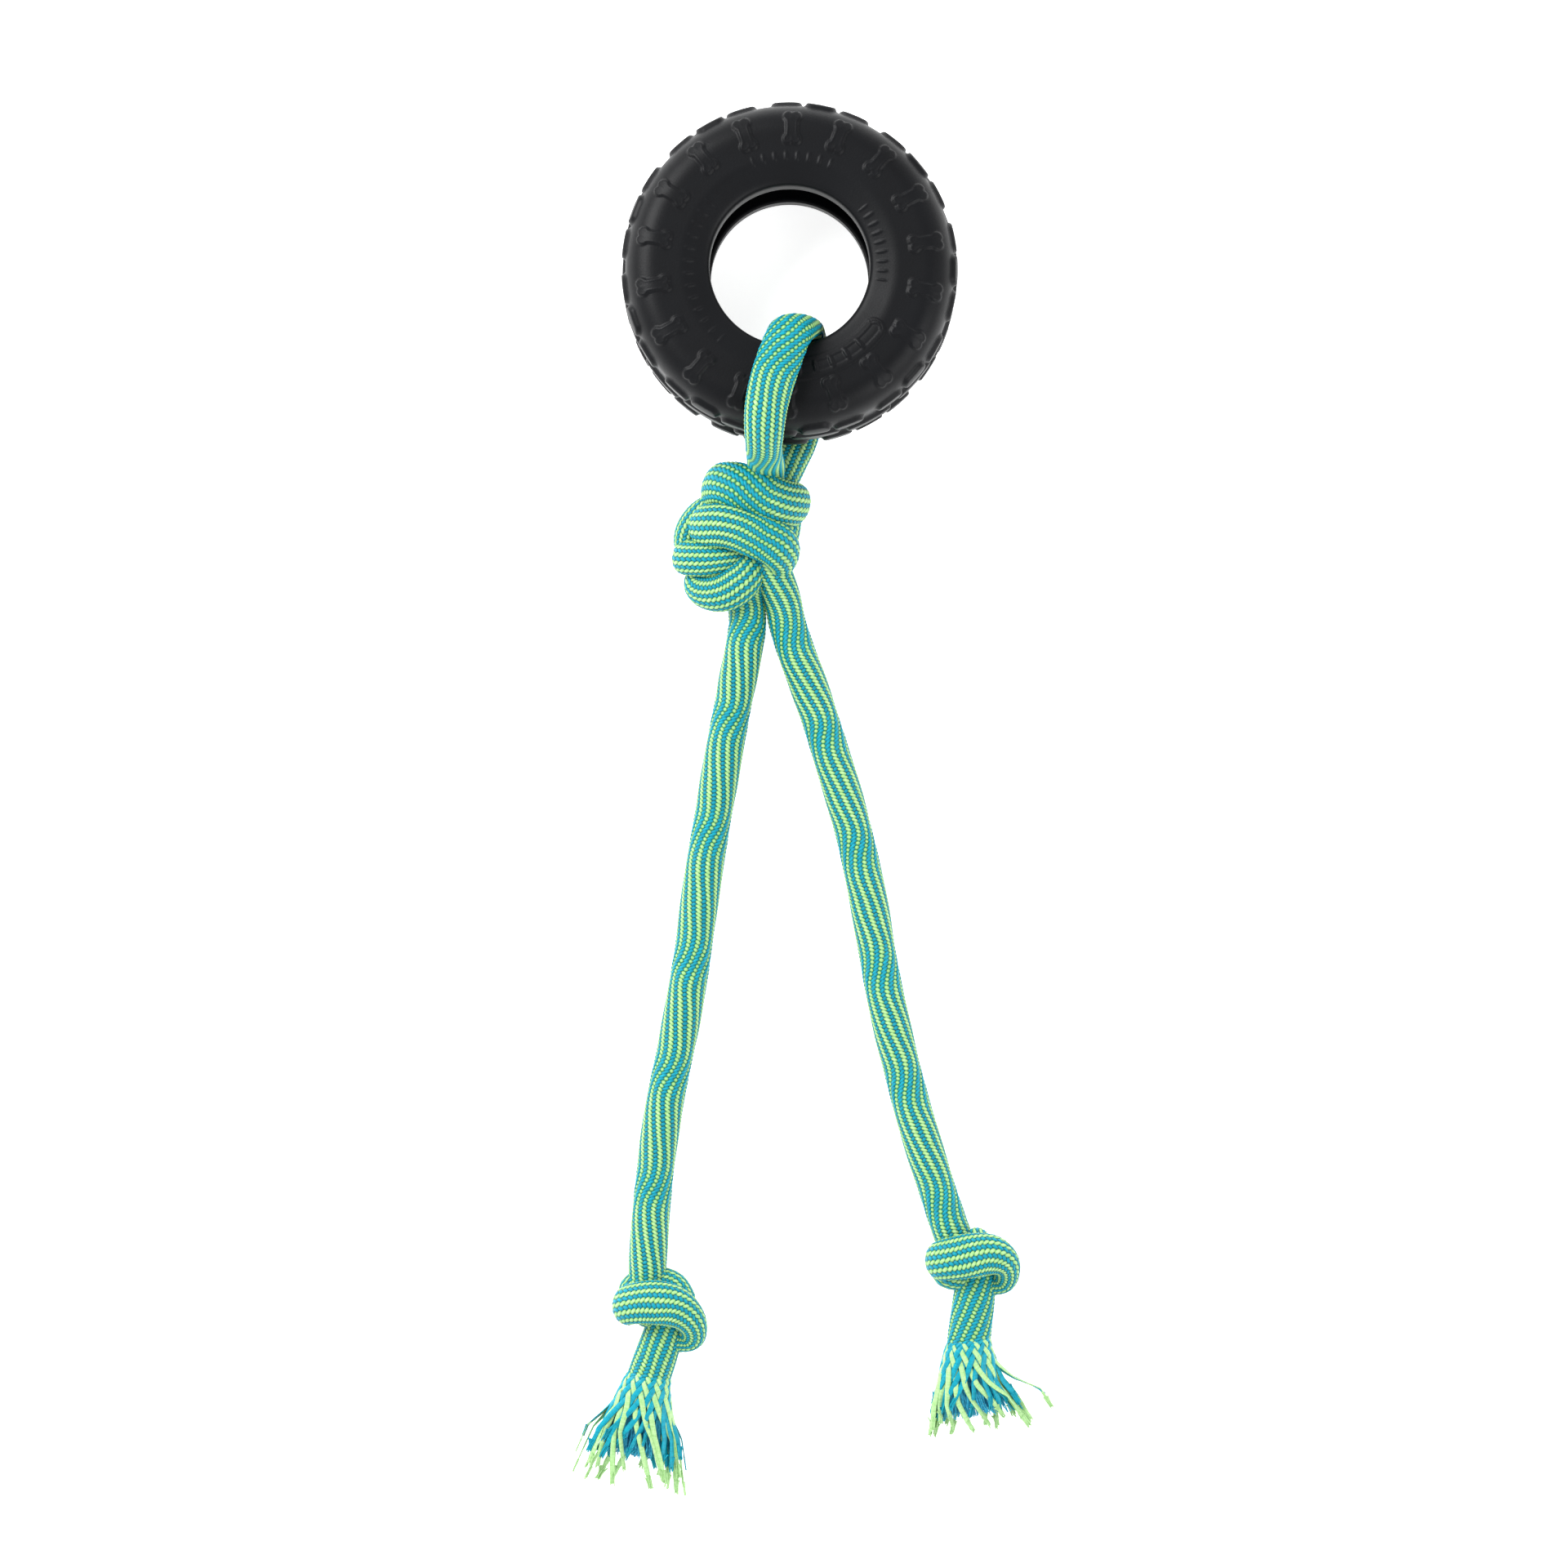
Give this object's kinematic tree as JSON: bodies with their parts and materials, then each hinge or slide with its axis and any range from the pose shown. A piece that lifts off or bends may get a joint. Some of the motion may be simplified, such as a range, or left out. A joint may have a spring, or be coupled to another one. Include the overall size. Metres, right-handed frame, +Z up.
{
  "type": "tire swing",
  "caption": "Small rubber tyre toy on a braided rope that is looped through its hole, knotted, and left as two tasselled legs.",
  "frame": {"origin": "on the floor under the middle of the tyre's bounding box", "axes": "+Z up, out of the tyre's front face within 4 degrees; -Y along the rope to its tassels; +X to the right seen from above"},
  "size_m": [0.1455, 0.4231, 0.0532],
  "materials": {
    "tyre_rubber": "satin moulded black rubber",
    "rope_cover": "shiny multifilament braid in lime and turquoise stripes",
    "rope_core": "matt blue spun fibres",
    "tassel_yarn": "shiny loose multifilament yarns, lime and turquoise"
  },
  "bodies": {
    "knot": {"main_knot": "rope_cover"},
    "loop": {"loop_cover": "rope_cover", "loop_core": "rope_core"},
    "tyre": {"tyre": "tyre_rubber"},
    "left_leg": {"left_leg_cover": "rope_cover", "left_leg_core": "rope_core", "left_end_knot": "rope_cover", "left_tail_cover": "rope_cover", "left_tail_core": "rope_core", "left_tassel_yarns": "tassel_yarn", "left_tassel_core": "rope_core"},
    "right_leg": {"right_leg_cover": "rope_cover", "right_leg_core": "rope_core", "right_end_knot": "rope_cover", "right_tail_cover": "rope_cover", "right_tail_core": "rope_core", "right_tassel_yarns": "tassel_yarn", "right_tassel_core": "rope_core"}
  },
  "joints": [
    {"name": "loop_lift", "type": "hinge", "parent": "knot", "child": "loop", "pos_m": [-0.0063, -0.06, 0.018], "axis": [1, 0, 0], "range_deg": [0, 45]},
    {"name": "tyre_spin", "type": "hinge", "parent": "loop", "child": "tyre", "pos_m": [0, 0, 0.02203], "axis": [0, 0.0698, 0.9976], "continuous": true},
    {"name": "left_leg_swing", "type": "hinge", "parent": "knot", "child": "left_leg", "pos_m": [-0.0128, -0.108, 0.0058], "axis": [0, 0, -1], "range_deg": [-5, 60]},
    {"name": "right_leg_swing", "type": "hinge", "parent": "knot", "child": "right_leg", "pos_m": [-0.0004, -0.108, 0.0058], "axis": [0, 0, 1], "range_deg": [-5, 60]}
  ]
}
